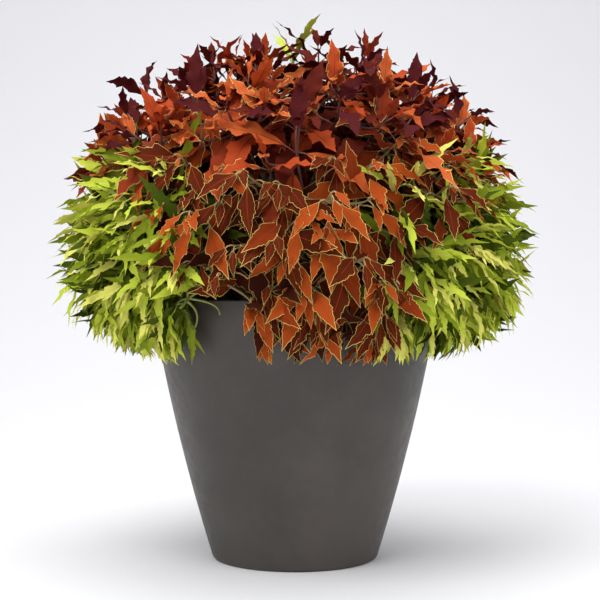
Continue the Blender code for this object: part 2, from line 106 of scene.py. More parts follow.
class Finish:
    """A material: its plain colour and roughness, and whatever nodes are added to it."""

    def __init__(self, name, colour, roughness, gloss=0.5):
        self.material = bpy.data.materials.new(name)
        self.material.use_nodes = True
        self.tree = self.material.node_tree
        self.shader = self.tree.nodes["Principled BSDF"]
        self.feed(self.shader, "Base Color", (*colour, 1.0))
        self.feed(self.shader, "Roughness", roughness)
        self.feed(self.shader, "Specular IOR Level", gloss)

    def feed(self, node, name, value):
        if isinstance(value, Wire):
            self.tree.links.new(value.socket, node.inputs[name])
        else:
            node.inputs[name].default_value = value

    def node(self, kind, settings, sockets, output=0):
        """Any node, from its type, its settings and what its sockets take."""
        made = self.tree.nodes.new(kind)
        for name, value in settings.items():
            setattr(made, name, value)
        for name, value in sockets.items():
            self.feed(made, name, value)
        return Wire(self, made.outputs[output])

    def sum(self, operation, first, second):
        return self.node("ShaderNodeMath", {"operation": operation}, {0: first, 1: second})

    def noise(self, scale, detail=4.0, stretch=(1.0, 1.0, 1.0)):
        """Cloudy noise on the piece's own coordinates, with so many lumps to a metre."""
        place = self.node("ShaderNodeTexCoord", {}, {}, "Object")
        mapped = self.node("ShaderNodeMapping", {}, {"Vector": place, "Scale": stretch})
        return self.node("ShaderNodeTexNoise", {}, {"Vector": mapped, "Scale": scale, "Detail": detail}, "Fac")

    def spread(self, wire, low, high, to_low=0.0, to_high=1.0):
        """A value from one range carried to another, smoothly and held at its ends."""
        return self.node("ShaderNodeMapRange", {"interpolation_type": "SMOOTHSTEP"},
                         {"Value": wire, "From Min": low, "From Max": high,
                          "To Min": to_low, "To Max": to_high})

    def blend(self, share, first, second):
        """One colour turning to another."""
        plain = [value if isinstance(value, Wire) else (*value, 1.0) for value in (first, second)]
        return self.node("ShaderNodeMix", {"data_type": "RGBA"}, {0: share, 6: plain[0], 7: plain[1]}, 2)

    def relief(self, height, depth):
        bump = self.node("ShaderNodeBump", {}, {"Height": height, "Distance": depth, "Strength": 1.0})
        self.feed(self.shader, "Normal", bump)


def piece(name, mesh, finishes, stands_for):
    """A finished mesh, with its finishes, that stands for solids and stays with the plant."""
    for finish in finishes:
        mesh.materials.append(finish.material)
    obj = bpy.data.objects.new(name, mesh)
    bpy.context.scene.collection.objects.link(obj)
    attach(obj, "root")
    if stands_for:
        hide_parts(*stands_for)
    return obj


def side_radius(z):
    """Outer radius of the planter's side at a height, or at an array of heights."""
    share = np.clip(z / POT_HEIGHT, 0.0, 1.0)
    straight = BASE_RADIUS + (RIM_RADIUS - BASE_RADIUS) * share
    return straight + SIDE_BULGE * 4.0 * share * (1.0 - share)


def turned(profile, steps):
    """A closed body turned about Z from the points of its profile."""
    shape = bmesh.new()
    points = [shape.verts.new((radius, 0.0, z)) for radius, z in profile]
    for start, end in zip(points, points[1:]):
        shape.edges.new((start, end))
    bmesh.ops.spin(shape, geom=shape.verts[:] + shape.edges[:], cent=(0, 0, 0), axis=(0, 0, 1),
                   angle=math.tau, steps=steps, use_merge=True)
    bmesh.ops.remove_doubles(shape, verts=shape.verts[:], dist=0.00001)
    bmesh.ops.recalc_face_normals(shape, faces=shape.faces[:])
    return shape


def round_over(shape, radius, height, offset, steps):
    """Rounds the turned edge at a radius and height."""
    found = [edge for edge in shape.edges if all(
        abs(math.hypot(vert.co.x, vert.co.y) - radius) < 0.0001 and abs(vert.co.z - height) < 0.0001
        for vert in edge.verts)]
    bmesh.ops.bevel(shape, geom=found, offset=offset, offset_type="OFFSET", affect="EDGES",
                    segments=steps, profile=0.5, material=-1)


def to_mesh(name, shape):
    mesh = bpy.data.meshes.new(name)
    shape.to_mesh(mesh)
    shape.free()
    mesh.shade_smooth()
    return mesh


inside_heights = np.linspace(POT_FLOOR, POT_HEIGHT, PLANTER_RINGS)
outside_heights = np.linspace(POT_HEIGHT, 0.0, PLANTER_RINGS)
pot_profile = [(0.0, POT_FLOOR)]
pot_profile += [(side_radius(z) - POT_WALL, z) for z in inside_heights]
pot_profile += [(side_radius(z), z) for z in outside_heights]
pot_profile += [(0.0, 0.0)]
pot = turned(pot_profile, PLANTER_TURNS)
round_over(pot, RIM_RADIUS - POT_WALL, POT_HEIGHT, RIM_ROUND, ROUND_STEPS)
round_over(pot, RIM_RADIUS, POT_HEIGHT, RIM_ROUND, ROUND_STEPS)
round_over(pot, BASE_RADIUS, 0.0, FOOT_ROUND, ROUND_STEPS)

clay = Finish("charcoal_clay", CLAY_DARK, 0.6)
clouds = clay.noise(CLAY_CLOUD, 3.0)
speckle = clay.noise(CLAY_SPECKLE, 6.0)
mottle = clay.spread(clouds * 0.75 + speckle * 0.25, 0.34, 0.66)
clay.feed(clay.shader, "Base Color", clay.blend(mottle, CLAY_DARK, CLAY_LIGHT))
clay.feed(clay.shader, "Roughness", clay.spread(speckle, 0.3, 0.7, 0.42, 0.56))
clay.relief(clay.noise(CLAY_GRAIN, 5.0), CLAY_GRAIN_DEPTH)
piece("clay_pot", to_mesh("clay_pot", pot), [clay], ["planter"])


# The potting mix
# Peat and fine bark, dark with water, that fills the planter to a little below its rim.
# Its top is crumbly, and falls slightly from the middle to the wall.

SOIL_TOP = 0.332
SOIL_FALL = 0.006
SOIL_TURNS = 96
SOIL_RINGS = 22
SOIL_GAP = 0.0009
SOIL_ROUGH = 0.0022
SOIL_LUMPS = 62.0
CRUMBS = 420
CRUMB_SIZES = (0.0016, 0.0045)
PEAT_DARK = (0.020, 0.013, 0.009)
PEAT_LIGHT = (0.095, 0.060, 0.038)


def joined(name, parts):
    """One smooth mesh from parts, each an array of points, one of faces and its faces' finishes."""
    points = np.vstack([place.reshape(-1, 3) for place, _, _ in parts])
    starts = np.cumsum([0] + [place.size // 3 for place, _, _ in parts])
    corners = np.concatenate([(faces + start).ravel() for (_, faces, _), start in zip(parts, starts)])
    sizes = np.concatenate([np.full(len(faces), faces.shape[1]) for _, faces, _ in parts])
    slots = np.concatenate([np.broadcast_to(slot, len(faces)) for _, faces, slot in parts])
    mesh = bpy.data.meshes.new(name)
    mesh.vertices.add(len(points))
    mesh.vertices.foreach_set("co", points.ravel())
    mesh.loops.add(len(corners))
    mesh.loops.foreach_set("vertex_index", corners.astype(np.int32))
    mesh.polygons.add(len(sizes))
    mesh.polygons.foreach_set("loop_start", (np.cumsum(sizes) - sizes).astype(np.int32))
    mesh.polygons.foreach_set("material_index", slots.astype(np.int32))
    mesh.update(calc_edges=True)
    mesh.shade_smooth()
    return mesh


def copies(template_points, template_faces, count):
    """The faces of many copies of one shape, whose points follow one another."""
    shift = np.arange(count)[:, None, None] * len(template_points)
    return (template_faces[None] + shift).reshape(-1, template_faces.shape[1])


def arrays_of(shape):
    """A triangulated bmesh as arrays of its points, faces and face finishes."""
    bmesh.ops.triangulate(shape, faces=shape.faces[:])
    shape.verts.index_update()
    points = np.array([tuple(vert.co) for vert in shape.verts])
    faces = np.array([[vert.index for vert in face.verts] for face in shape.faces])
    slots = np.array([face.material_index for face in shape.faces])
    shape.free()
    return points, faces, slots


soil_edge = side_radius(SOIL_TOP - SOIL_FALL) - POT_WALL - SOIL_GAP
soil_rings = np.linspace(0.0, 1.0, SOIL_RINGS)
soil_profile = [(soil_edge * share, SOIL_TOP - SOIL_FALL * share ** 4) for share in soil_rings]
soil_profile += [(side_radius(z) - POT_WALL - SOIL_GAP, z) for z in np.linspace(0.25, POT_FLOOR, 4)]
soil_profile += [(0.0, POT_FLOOR)]
soil = turned(soil_profile, SOIL_TURNS)
for vert in soil.verts:
    if vert.co.z > SOIL_TOP - SOIL_FALL - 0.0001:
        lumps = noise.fractal(vert.co * SOIL_LUMPS, 0.9, 2.1, 4)
        vert.co.z += (lumps - 0.6) * SOIL_ROUGH
soil_points, soil_faces, soil_slots = arrays_of(soil)

crumb = bmesh.new()
bmesh.ops.create_icosphere(crumb, subdivisions=1, radius=1.0)
crumb_points, crumb_faces, _ = arrays_of(crumb)
dice = np.random.default_rng(11)
crumb_sizes = dice.uniform(*CRUMB_SIZES, (CRUMBS, 1, 1)) * dice.uniform(0.5, 1.4, (CRUMBS, 1, 3))
crumb_ring = soil_edge * np.sqrt(dice.uniform(0.0, 0.94, CRUMBS))
crumb_turn = dice.uniform(0.0, math.tau, CRUMBS)
crumb_level = SOIL_TOP - SOIL_FALL * (crumb_ring / soil_edge) ** 4 - 0.0004
crumb_places = np.stack([crumb_ring * np.cos(crumb_turn), crumb_ring * np.sin(crumb_turn), crumb_level], 1)
crumbs = crumb_points[None] * crumb_sizes + crumb_places[:, None]

peat = Finish("damp_peat", PEAT_DARK, 0.95)
peat_grain = peat.noise(260.0, 6.0)
peat.feed(peat.shader, "Base Color", peat.blend(peat.spread(peat_grain, 0.42, 0.72), PEAT_DARK, PEAT_LIGHT))
peat.relief(peat_grain, 0.0012)
soil_mesh = joined("peat_mix", [(soil_points, soil_faces, 0),
                                (crumbs, copies(crumb_points, crumb_faces, CRUMBS), 0)])
piece("peat_mix", soil_mesh, [peat], ["potting_mix"])


# The stems and boughs
# Coleus stems are square and fleshy, woody and pale brown at the foot, with a swollen joint
# wherever a pair of leaves once grew. Five stems rise from the mix, and each forks into boughs.

TIERS = (
    ("skirt", 10, 0.266, 0.000, 4.0, 0.216, 0.032),
    ("flank", 8, 0.262, 0.124, 4.0, 0.172, 0.100),
    ("shoulder", 6, 0.160, 0.245, 30.0, 0.092, 0.214),
    ("top", 1, 0.0, 0.305, 0.0, 0.0, 0.240),
)
SIDE_STEMS = (("front", 4.0), ("right", 94.0), ("back", 184.0), ("left", 274.0))
SECTOR_TURN = -2.0
SIDE_STEM_RING = 0.058
STEM_RADII = (0.0085, 0.0048)
STEM_LIFT = 0.030
ROOT_FLARE = 1.6
FLARE_HEIGHT = 0.012
BOUGH_RADII = (0.0046, 0.0032)
BOUGH_ARCH = 0.030
SIDE_FORKS = (0.34, 0.74)
MIDDLE_FORKS = (0.48, 0.61, 0.74)
HUB_SHARE = 0.50
LIMB_STEPS = 72
LIMB_SIDES = 12
LIMB_SQUARE = 0.07
JOINT_EVERY = 0.034
JOINT_SWELL = 0.16
JOINT_HALF = 0.0035
BARK_ROUGH = 0.06
BARK_BROWN = (0.205, 0.135, 0.070)
BARK_PALE = (0.420, 0.330, 0.170)
RIM = Vector((0.0, 0.0, POT_HEIGHT))
UP = Vector((0.0, 0.0, 1.0))


def around(radius, height_above_rim, azimuth):
    """A point at an azimuth in degrees from the front, turning towards +X."""
    angle = math.radians(azimuth)
    return RIM + Vector((radius * math.sin(angle), -radius * math.cos(angle), height_above_rim))


class Mass:
    """A mass of foliage: its tier and azimuth, its middle, and where its limb enters it."""

    def __init__(self, tier, name, azimuth, middle, entry):
        self.tier = tier
        self.name = name
        self.azimuth = azimuth
        self.middle = middle
        self.entry = entry
        self.hub = entry.lerp(middle, HUB_SHARE)
        self.tips = []


masses = []
for tier, count, ring, height, first, entry_ring, entry_height in TIERS:
    for k in range(count):
        name = f"foliage_{tier}_{k + 1}" if count > 1 else f"foliage_{tier}"
        azimuth = first + 360.0 * k / count
        masses.append(Mass(tier, name, azimuth, around(ring, height, azimuth),
                           around(entry_ring, entry_height, azimuth)))


def unit(vectors):
    return vectors / np.linalg.norm(vectors, axis=-1, keepdims=True)


def arc(start, control, end, count):
    """Points along a quadratic curve."""
    shares = np.linspace(0.0, 1.0, count)[:, None]
    return (np.array(start) * (1 - shares) ** 2 + np.array(control) * 2 * shares * (1 - shares)
            + np.array(end) * shares ** 2)


def tubes(paths, radii, sides):
    """Closed tubes along many paths with equal counts of points, as points and four-cornered faces."""
    count, steps, _ = paths.shape
    along = unit(np.gradient(paths, axis=1))
    steady = unit(np.cross(paths[:, -1] - paths[:, 0], (0.31, 0.87, 0.38)))[:, None]
    aside = unit(np.cross(along, steady))
    across = np.cross(aside, along)
    turn = (np.arange(sides) + 0.5) * math.tau / sides
    ring = aside[:, :, None] * np.cos(turn)[:, None] + across[:, :, None] * np.sin(turn)[:, None]
    points = paths[:, :, None] + ring * radii
    this = np.arange(sides)
    after = (this + 1) % sides
    rows = np.arange(steps - 1)[:, None] * sides
    walls = np.stack([rows + this, rows + sides + this, rows + sides + after, rows + after], -1)
    cap = np.array([(0, k, k + 1, k + 2) for k in range(1, sides - 2, 2)])
    faces = np.vstack([walls.reshape(-1, 4), cap, (cap + (steps - 1) * sides)[:, ::-1]])
    return points.reshape(-1, 3), copies(points.reshape(count, -1, 3)[0], faces, count)


def limb(path, radii, seed):
    """A stem or bough with square corners, swollen joints and bark that is rougher towards its foot."""
    length = np.concatenate([[0.0], np.cumsum(np.linalg.norm(np.diff(path, axis=0), axis=1))])
    to_joint = (length + 0.5 * JOINT_EVERY) % JOINT_EVERY - 0.5 * JOINT_EVERY
    swell = 1.0 + JOINT_SWELL * np.exp(-(to_joint / JOINT_HALF) ** 2)
    turn = (np.arange(LIMB_SIDES) + 0.5) * math.tau / LIMB_SIDES
    square = 1.0 + LIMB_SQUARE * np.cos(4.0 * turn)
    ridges = np.array([[noise.noise(Vector((angle * 2.2, place * 90.0, seed))) for angle in turn]
                       for place in length])
    fade = np.linspace(1.0, 0.35, len(path))[:, None]
    shape = (radii * swell)[:, None] * square * (1.0 + BARK_ROUGH * fade * ridges)
    return tubes(path[None], shape[None, :, :, None], LIMB_SIDES)


class Stem:
    """A stem's path from its flared foot, which rises straight before it leans."""

    def __init__(self, name, foot, control, tip):
        self.name = name
        rise = np.linspace(np.array(foot), np.array(foot + UP * FLARE_HEIGHT), 5)[:-1]
        self.path = np.vstack([rise, arc(foot + UP * FLARE_HEIGHT, control, tip, LIMB_STEPS)])
        flare = np.linspace(STEM_RADII[0] * ROOT_FLARE, STEM_RADII[0], 5)[:-1]
        self.radii = np.concatenate([flare, np.linspace(*STEM_RADII, LIMB_STEPS)])
        chain = [np.array(foot), *arc(foot + UP * FLARE_HEIGHT, control, tip, 6)]
        self.chain = [Vector(point) for point in chain]

    def at(self, share):
        place = share * (len(self.chain) - 1)
        index = int(place)
        return self.chain[index].lerp(self.chain[index + 1], place - index)


def stem_in_sector(azimuth):
    """The name of the side stem whose quarter an azimuth falls in."""
    def apart(stem):
        return abs((stem[1] + SECTOR_TURN - azimuth + 180.0) % 360.0 - 180.0)
    return min(SIDE_STEMS, key=apart)[0]


stems = []
boughs = []


def add_boughs(stem, carried, forks):
    """Boughs that arch from shares of the way up a stem to where each enters its mass."""
    for mass, fork in zip(carried, forks):
        root = stem.at(fork)
        control = root.lerp(mass.entry, 0.5) + UP * BOUGH_ARCH
        boughs.append(arc(root, control, mass.hub.lerp(mass.entry, 0.6), LIMB_STEPS))


foot = UP * SOIL_TOP
top_mass = masses[-1]
middle_stem = Stem("middle", foot, foot.lerp(top_mass.entry, 0.5), top_mass.entry)
stems.append(middle_stem)
shoulders = [mass for mass in masses if mass.tier == "shoulder"]
add_boughs(middle_stem, shoulders, [MIDDLE_FORKS[k % len(MIDDLE_FORKS)] for k in range(len(shoulders))])
for side, azimuth in SIDE_STEMS:
    tip_mass = next(mass for mass in masses if mass.tier == "flank" and mass.azimuth == azimuth)
    foot = around(SIDE_STEM_RING, SOIL_TOP - POT_HEIGHT, azimuth)
    stem = Stem(side, foot, foot.lerp(tip_mass.entry, 0.30) + UP * STEM_LIFT, tip_mass.entry)
    stems.append(stem)
    carried = [mass for mass in masses if mass.tier in ("skirt", "flank") and mass is not tip_mass
               and stem_in_sector(mass.azimuth) == side]
    carried.sort(key=lambda mass: (mass.tier == "flank", mass.azimuth))
    add_boughs(stem, carried, np.linspace(*SIDE_FORKS, len(carried)))

stem_parts = [(*limb(stem.path, stem.radii, k), 0) for k, stem in enumerate(stems)]
bough_parts = [(*limb(path, np.linspace(*BOUGH_RADII, LIMB_STEPS), 20.0 + k), 0)
               for k, path in enumerate(boughs)]
limb_points = np.vstack([stem.path for stem in stems] + boughs)

bark = Finish("stem_bark", BARK_BROWN, 0.6)
streaks = bark.noise(220.0, 4.0, (1.0, 1.0, 0.25))
bark.feed(bark.shader, "Base Color", bark.blend(bark.spread(streaks, 0.35, 0.65), BARK_BROWN, BARK_PALE))
bark.feed(bark.shader, "Roughness", bark.spread(streaks, 0.3, 0.7, 0.5, 0.75))
bark.relief(streaks, 0.0004)
piece("stems", joined("stems", stem_parts), [bark], ["stem_" + stem.name for stem in stems])
piece("boughs", joined("boughs", bough_parts), [bark],
      [mass.name.replace("foliage", "bough") for mass in masses
       if "bough" + mass.name[len("foliage"):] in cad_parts])


# The shoots
# Young coleus growth: thin square twigs that grow from each mass's hub to the crown's surface, each
# with two finer side twigs. Every twig ends in a rosette of leaf pairs set crosswise.

CROWN_LEVEL = 0.070
CROWN_RADIUS = 0.350
CROWN_RISE = 0.332
CROWN_DROP = 0.168
RISE_POWER = 1.9
DROP_POWER = 3.0
RED_ABOVE = 0.160
RED_HANGS = 0.025
COPPER_MIDDLE = 6.0
COPPER_ANGLE = 24.0
COPPER_SPREADS = 6.0
COPPER_WIDENING = 170.0
SHOOTS = 114
LOWEST_SINE = -0.46
LOW_SHARE_POWER = 0.84
TIP_SHARE = {"red": 0.875, "copper": 0.865, "lime": 0.845}
TIP_UNEVEN = (-0.075, 0.035)
TOP_UNEVEN = (-0.220, -0.010)
LEAN_ABOVE = 0.220
TOP_LEAN = 0.20
TOP_SINE = 0.72
PROUD_SINES = (0.50, 0.85)
PROUD_EVERY = 4
PROUD_FIRST = 1
PROUD_MORE = 0.085
SHOOT_LIFT = {"red": 0.35, "copper": 0.10, "lime": -0.10}
SHOOT_STRAY = 0.18
SHOOT_BEND = 0.40
OUTSIDE_RIM = 0.035
TWIG_START = 0.04
SIDE_TWIGS = {"red": 2, "copper": 2, "lime": 5}
SIDE_SPREAD = (0.036, 0.068)
SIDE_IN = (0.90, 0.99)
SIDE_FORK = (0.42, 0.62)
SIDE_STRAY = 0.30
LIME_AMONG = 0.14
TWIG_STEPS = 9
TWIG_RADII = (0.0026, 0.0015)
SIDE_TWIG_RADII = (0.0018, 0.0012)
GOLDEN_ANGLE = math.pi * (3.0 - math.sqrt(5.0))
CROWN_CENTRE = RIM + UP * CROWN_LEVEL
STRAY_LIME_TIP = (0.045, 0.342, -4.0)
TWIG_COLOURS = {"red": (0.150, 0.050, 0.035), "copper": (0.290, 0.190, 0.075), "lime": (0.230, 0.260, 0.050)}


def scaled(height):
    """Height over the crown's middle as a share of its rise or drop there, with that part's power."""
    rise = np.where(height > 0, CROWN_RISE, CROWN_DROP)
    power = np.where(height > 0, RISE_POWER, DROP_POWER)
    return np.abs(height) / rise, power, rise


def reach_share(points):
    """1 for a point on the crown's outer reach, and less for one inside it."""
    offset = points - np.array(CROWN_CENTRE)
    flat = np.hypot(offset[..., 0], offset[..., 1]) / CROWN_RADIUS
    steep, power, _ = scaled(offset[..., 2])
    return (flat ** power + steep ** power) ** (1.0 / power)


def reach_towards(direction):
    """How far the crown reaches from its middle in a direction."""
    return 1.0 / float(reach_share(np.array(CROWN_CENTRE + direction)))


def outward_at(point):
    """The outward direction of the crown's surface that passes through a point."""
    offset = point - CROWN_CENTRE
    flat = math.hypot(offset.x, offset.y) / CROWN_RADIUS
    steep, power, rise = scaled(offset.z)
    level = Vector((offset.x, offset.y, 0.0)).normalized()
    climb = math.copysign(float(steep ** (power - 1) / rise), offset.z)
    return (level * float(flat ** (power - 1) / CROWN_RADIUS) + UP * climb).normalized()


def kind_at(point, spread=0.0):
    """The kind of coleus at a place on the crown, or, with a spread of 1, of the shoot whose tip is there:
    the red leaves hang and the copper ones spread past their tips, so these stay behind the border."""
    over_rim = point.z - POT_HEIGHT
    if over_rim > RED_ABOVE + RED_HANGS * spread:
        return "red"
    azimuth = math.degrees(math.atan2(point.x, -point.y))
    aside = abs((azimuth - COPPER_MIDDLE + 90.0) % 180.0 - 90.0)
    within = COPPER_ANGLE - COPPER_SPREADS * spread + COPPER_WIDENING * max(over_rim, 0.0)
    return "copper" if aside < within else "lime"


def clear_the_rim(tip):
    """Moves a low tip out past the planter's side."""
    flat = math.hypot(tip.x, tip.y)
    least = float(side_radius(tip.z)) + OUTSIDE_RIM
    if tip.z < POT_HEIGHT + OUTSIDE_RIM and flat < least:
        tip.xy *= least / flat
    return tip


unevenness = random.Random(3)
for k in range(SHOOTS):
    sine = 1.0 - ((k + 0.5) / SHOOTS) ** LOW_SHARE_POWER * (1.0 - LOWEST_SINE)
    level = math.sqrt(1.0 - sine * sine)
    direction = Vector((level * math.cos(k * GOLDEN_ANGLE), level * math.sin(k * GOLDEN_ANGLE), sine))
    full = CROWN_CENTRE + direction * reach_towards(direction)
    share = TIP_SHARE[kind_at(CROWN_CENTRE.lerp(full, min(TIP_SHARE.values())), 1.0)]
    uneven = TOP_UNEVEN if sine > TOP_SINE else TIP_UNEVEN
    share += unevenness.uniform(*uneven)
    if PROUD_SINES[0] < sine < PROUD_SINES[1] and k % PROUD_EVERY == PROUD_FIRST:
        share += PROUD_MORE
    tip = CROWN_CENTRE.lerp(full, share)
    tip.x += TOP_LEAN * max(0.0, tip.z - POT_HEIGHT - LEAN_ABOVE)
    mass = min(masses, key=lambda one: (one.middle - tip).length)
    mass.tips.append(clear_the_rim(tip))


class Shoot:
    """One twig's path, and the tip, axis and kind of the rosette that it ends in."""

    def __init__(self, root, tip, axis, kind, main):
        self.tip = tip
        self.axis = axis
        self.kind = kind
        self.main = main
        self.path = arc(root, tip - axis * SHOOT_BEND * (tip - root).length, tip, TWIG_STEPS)


def side_shoot(shoot, angle, chance):
    """A finer twig that forks from a shoot and reaches the crown's surface beside it."""
    across = shoot.axis.orthogonal().normalized()
    across = across * math.cos(angle) + shoot.axis.cross(across) * math.sin(angle)
    aside = shoot.tip + across * chance.uniform(*SIDE_SPREAD)
    direction = (aside - CROWN_CENTRE).normalized()
    share = TIP_SHARE[shoot.kind] * chance.uniform(*SIDE_IN)
    tip = clear_the_rim(CROWN_CENTRE + direction * reach_towards(direction) * share)
    stray = Vector([chance.uniform(-SIDE_STRAY, SIDE_STRAY) for _ in range(3)])
    axis = (outward_at(tip) + UP * SHOOT_LIFT[shoot.kind] + across * 0.25 + stray).normalized()
    fork = Vector(shoot.path[round(chance.uniform(*SIDE_FORK) * (TWIG_STEPS - 1))])
    kind = "lime" if shoot.kind == "copper" and chance.random() < LIME_AMONG else shoot.kind
    return Shoot(fork, tip, axis, kind, False)


shoots = []
for mass in masses:
    chance = random.Random(mass.name)
    for tip in mass.tips:
        stray = Vector([chance.uniform(-SHOOT_STRAY, SHOOT_STRAY) for _ in range(3)])
        kind = kind_at(tip, 1.0)
        axis = (outward_at(tip) + UP * SHOOT_LIFT[kind] + stray).normalized()
        shoot = Shoot(mass.hub.lerp(tip, TWIG_START), tip, axis, kind, True)
        first = chance.uniform(0.0, math.tau)
        shoots.append(shoot)
        for k in range(SIDE_TWIGS[kind]):
            angle = first + (k + chance.uniform(-0.2, 0.2)) * math.tau / SIDE_TWIGS[kind]
            shoots.append(side_shoot(shoot, angle, chance))

stray_root = Vector(shoots[-1].path[0])
stray_tip = around(*STRAY_LIME_TIP)
shoots.append(Shoot(stray_root, stray_tip, UP, "lime", True))

twig_finishes = [Finish(kind + "_twig", colour, 0.5) for kind, colour in TWIG_COLOURS.items()]
twig_parts = []
for slot, kind in enumerate(TWIG_COLOURS):
    for main, ends in ((True, TWIG_RADII), (False, SIDE_TWIG_RADII)):
        paths = np.array([shoot.path for shoot in shoots if shoot.kind == kind and shoot.main == main])
        radii = np.linspace(*ends, TWIG_STEPS)[None, :, None, None]
        twig_parts.append((*tubes(paths, radii, 4), slot))
piece("twigs", joined("twigs", twig_parts), twig_finishes, [])


# The red leaves
# Broad, pointed, toothed leaves of the red coleus over the top of the crown, brick red when grown
# and wine dark when young, some with a thin pale edge. Each hangs from a short stalk in its pair.

POT_CLEAR = 0.003
LIMB_CLEAR = 0.006
PAIR_DROPS = (0.054, 0.036, 0.019, 0.004)
PAIR_SIZES = (0.95, 1.00, 0.76, 0.46)
LEAF_STRAY = (9.0, 0.28, 0.10)
STALK_RADII = (0.0011, 0.0008)
STALK_STEPS = 4
FIT_SIZES = (1.0, 1.0, 0.92, 0.86, 0.80, 0.72, 0.64)
FIT_TURN = 0.35
FIT_LEAN = 0.12
REACH_MOST = 1.01
REACH_PAST_TIP = 0.11
BOX_SPARE = 0.004
RIM_SHOWS = (-35.0, -12.0)
VEIN_SLANT = math.radians(50.0)
LEAF_GLOSS = 0.02


def half_outline(half_width, widest, fullness, teeth, depth, forward, ragged, chance):
    """One side of a leaf 1 long, from its stalk to just short of its tip, with forward teeth."""
    skew = math.log(0.5) / math.log(widest)
    first, last, count = teeth

    def envelope(along):
        return half_width * math.sin(math.pi * along ** skew) ** fullness

    line = [(0.0, 0.010), (first * 0.5, envelope(first * 0.5)), (first, envelope(first))]
    for k in range(count):
        along = first + forward + (last - first) * (k + chance.uniform(-ragged, ragged) * 0.4) / count
        notch = along + forward * 0.35
        high = envelope(along) * (1.0 + chance.uniform(-ragged, ragged) * 0.25)
        low = envelope(notch) * (1.0 - depth * (1.0 + chance.uniform(-ragged, ragged)))
        line += [(along, high), (notch, low)]
    return line


def blade(sides, margin, rib, veins, pleat):
    """A leaf from its two sides, pleated between its side veins, with its faces and their finishes:
    0 the blade, 1 the pale margin and 2 the midrib."""
    shape = bmesh.new()
    outline = [*sides[0], (1.0, 0.0), *[(along, -wide) for along, wide in reversed(sides[1])]]
    corners = [shape.verts.new((along, wide, 0.0)) for along, wide in outline]
    bmesh.ops.contextual_create(shape, geom=corners)
    if margin:
        rim = bmesh.ops.inset_region(shape, faces=shape.faces[:], thickness=margin, use_boundary=True,
                                     use_even_offset=True)
        for face in rim["faces"]:
            face.material_index = 1
    for turn in (1.0, -1.0):
        bmesh.ops.bisect_plane(shape, geom=shape.verts[:] + shape.edges[:] + shape.faces[:], dist=0.00001,
                               plane_co=(1.0, 0.0, 0.0), plane_no=(rib * turn, 1.0, 0.0))
    for face in shape.faces:
        middle = face.calc_center_median()
        if face.material_index == 0 and abs(middle.y) < rib * (1.0 - middle.x):
            face.material_index = 2
    first, last, count = veins
    for turn in (1.0, -1.0):
        for along in np.linspace(first, last, count):
            half = [face for face in shape.faces if face.calc_center_median().y * turn > 0.0
                    and (face.material_index == 1 or abs(face.calc_center_median().y) > rib * 0.6)]
            around_half = {part for face in half for part in (*face.verts, *face.edges)}
            bmesh.ops.bisect_plane(shape, geom=[*around_half, *half], dist=0.00001,
                                   plane_co=(along, 0.0, 0.0),
                                   plane_no=(math.sin(VEIN_SLANT), -math.cos(VEIN_SLANT) * turn, 0.0))
    down = [face for face in shape.faces if face.normal.z < 0.0]
    bmesh.ops.reverse_faces(shape, faces=down)
    step = (last - first) / (count - 1)
    for vert in shape.verts:
        place = vert.co.x - abs(vert.co.y) / math.tan(VEIN_SLANT)
        vert.co.z = -pleat * abs(vert.co.y) * math.cos(math.pi * (place - first) / step)
    return arrays_of(shape)


class Sprays:
    """Every leaf of one kind: where its stalk joins its twig, its shoot's axis, its place in its pair."""

    def __init__(self, kind, leans, dice):
        own = [shoot for shoot in shoots if shoot.kind == kind]
        pairs = len(PAIR_DROPS)
        count = len(own) * pairs * 2
        rank = np.tile(np.repeat(np.arange(pairs), 2), len(own))
        spray = np.repeat(np.arange(len(own)), pairs * 2)
        tips = np.array([tuple(shoot.tip) for shoot in own])[spray]
        self.axis = np.array([tuple(shoot.axis) for shoot in own])[spray]
        self.node = tips - self.axis * np.array(PAIR_DROPS)[rank][:, None]
        self.reach = np.maximum(reach_share(tips) + REACH_PAST_TIP, REACH_MOST)
        self.spray = spray
        self.rank = rank
        lean_stray, turn_stray, size_stray = LEAF_STRAY
        start = dice.uniform(0.0, math.tau, len(own))[spray]
        opposite = np.tile([0.0, math.pi], len(own) * pairs)
        self.turn = start + rank * math.pi / 2 + opposite + dice.uniform(-turn_stray, turn_stray, count)
        self.lean = np.interp(rank, [0, pairs - 1], leans) + dice.uniform(-lean_stray, lean_stray, count)
        main = np.array([1.0 if shoot.main else 0.9 for shoot in own])[spray]
        self.side = main < 1.0
        self.size = np.array(PAIR_SIZES)[rank] * main * (1.0 + dice.uniform(-size_stray, size_stray, count))


